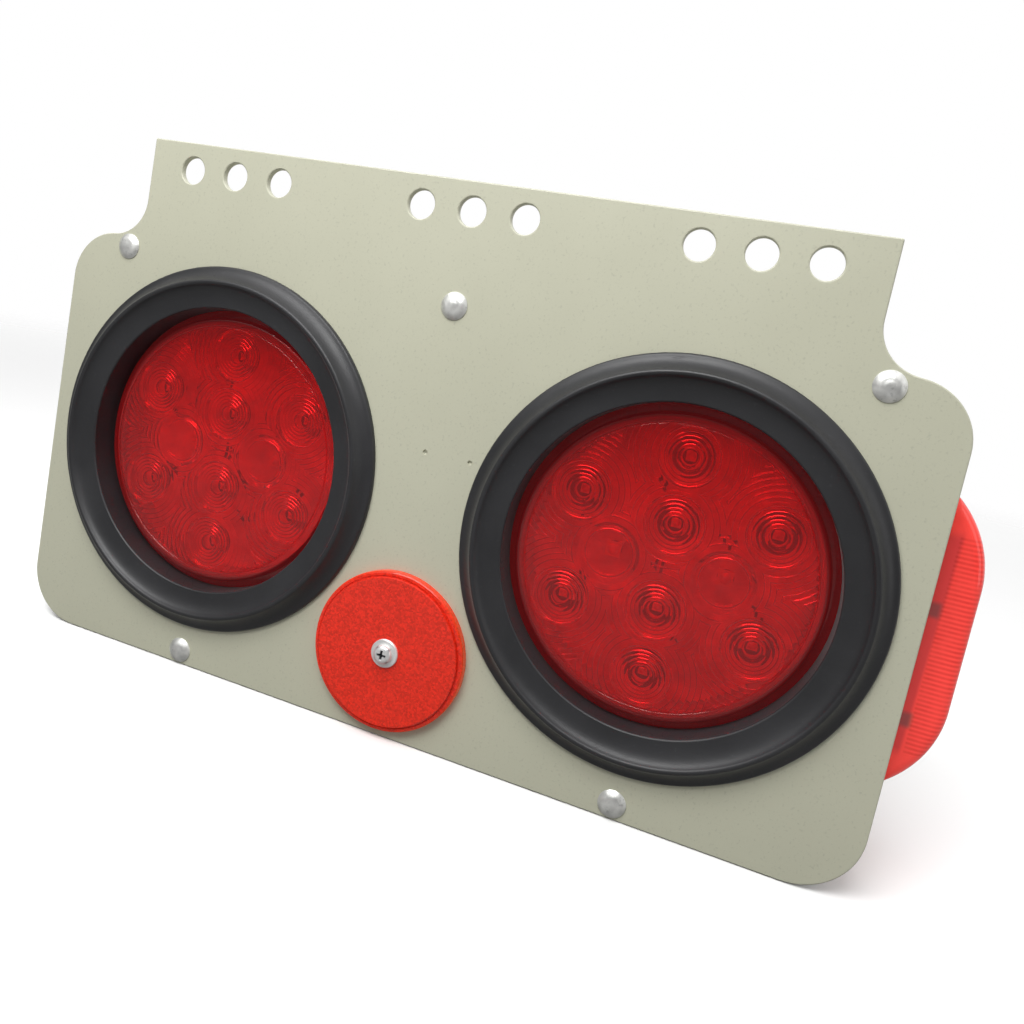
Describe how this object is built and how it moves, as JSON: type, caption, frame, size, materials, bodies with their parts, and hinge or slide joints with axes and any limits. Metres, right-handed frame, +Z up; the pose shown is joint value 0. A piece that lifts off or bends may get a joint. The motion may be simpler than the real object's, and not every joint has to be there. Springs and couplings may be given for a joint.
{
  "type": "led trailer light module",
  "caption": "Trailer rear light module: bolt-on steel plate with round red lamps in rubber grommets, a round reflector, a side marker and a riveted rear cover.",
  "frame": {"origin": "middle bolt hole of the hanger plate, on the back face of the plate", "axes": "+X along the plate, to the side of the marker lamp; +Y out of the back of the plate; +Z up"},
  "size_m": [0.3423, 0.0859, 0.1975],
  "materials": {
    "painted_steel": "satin grey paint",
    "rivet_aluminium": "satin",
    "rubber": "satin",
    "lamp_lens": "clear deep red",
    "lamp_housing": "dark red moulding",
    "circuit_board": "white solder mask",
    "diode": "clear encapsulant",
    "brass_pin": "bright",
    "reflector_red": "clear orange red with prisms",
    "reflector_backing": "moulded",
    "zinc": "bright zinc plate",
    "marker_red": "clear red",
    "marker_moulding": "moulded",
    "foam": "matt foam",
    "black_nylon": "moulded"
  },
  "bodies": {
    "root": {"mount_plate": "painted_steel", "rear_cover": "painted_steel", "cover_rivets": "rivet_aluminium", "left_grommet": "rubber", "right_grommet": "rubber", "left_lens": "lamp_lens", "right_lens": "lamp_lens", "left_lamp_housing": "lamp_housing", "right_lamp_housing": "lamp_housing", "left_circuit_board": "circuit_board", "right_circuit_board": "circuit_board", "left_leds": "diode", "right_leds": "diode", "left_terminal_pins": "brass_pin", "right_terminal_pins": "brass_pin", "reflector_back": "reflector_backing", "reflector_lens": "reflector_red", "reflector_washer": "zinc", "reflector_screw": "zinc", "reflector_nut": "zinc", "marker_gasket": "foam", "marker_base": "marker_moulding", "marker_circuit_board": "circuit_board", "marker_leds": "diode", "marker_lens": "marker_red", "marker_screws": "zinc", "cable_gland": "black_nylon", "gland_nut": "black_nylon", "ground_stud": "zinc", "ground_nut": "brass_pin"}
  },
  "joints": []
}
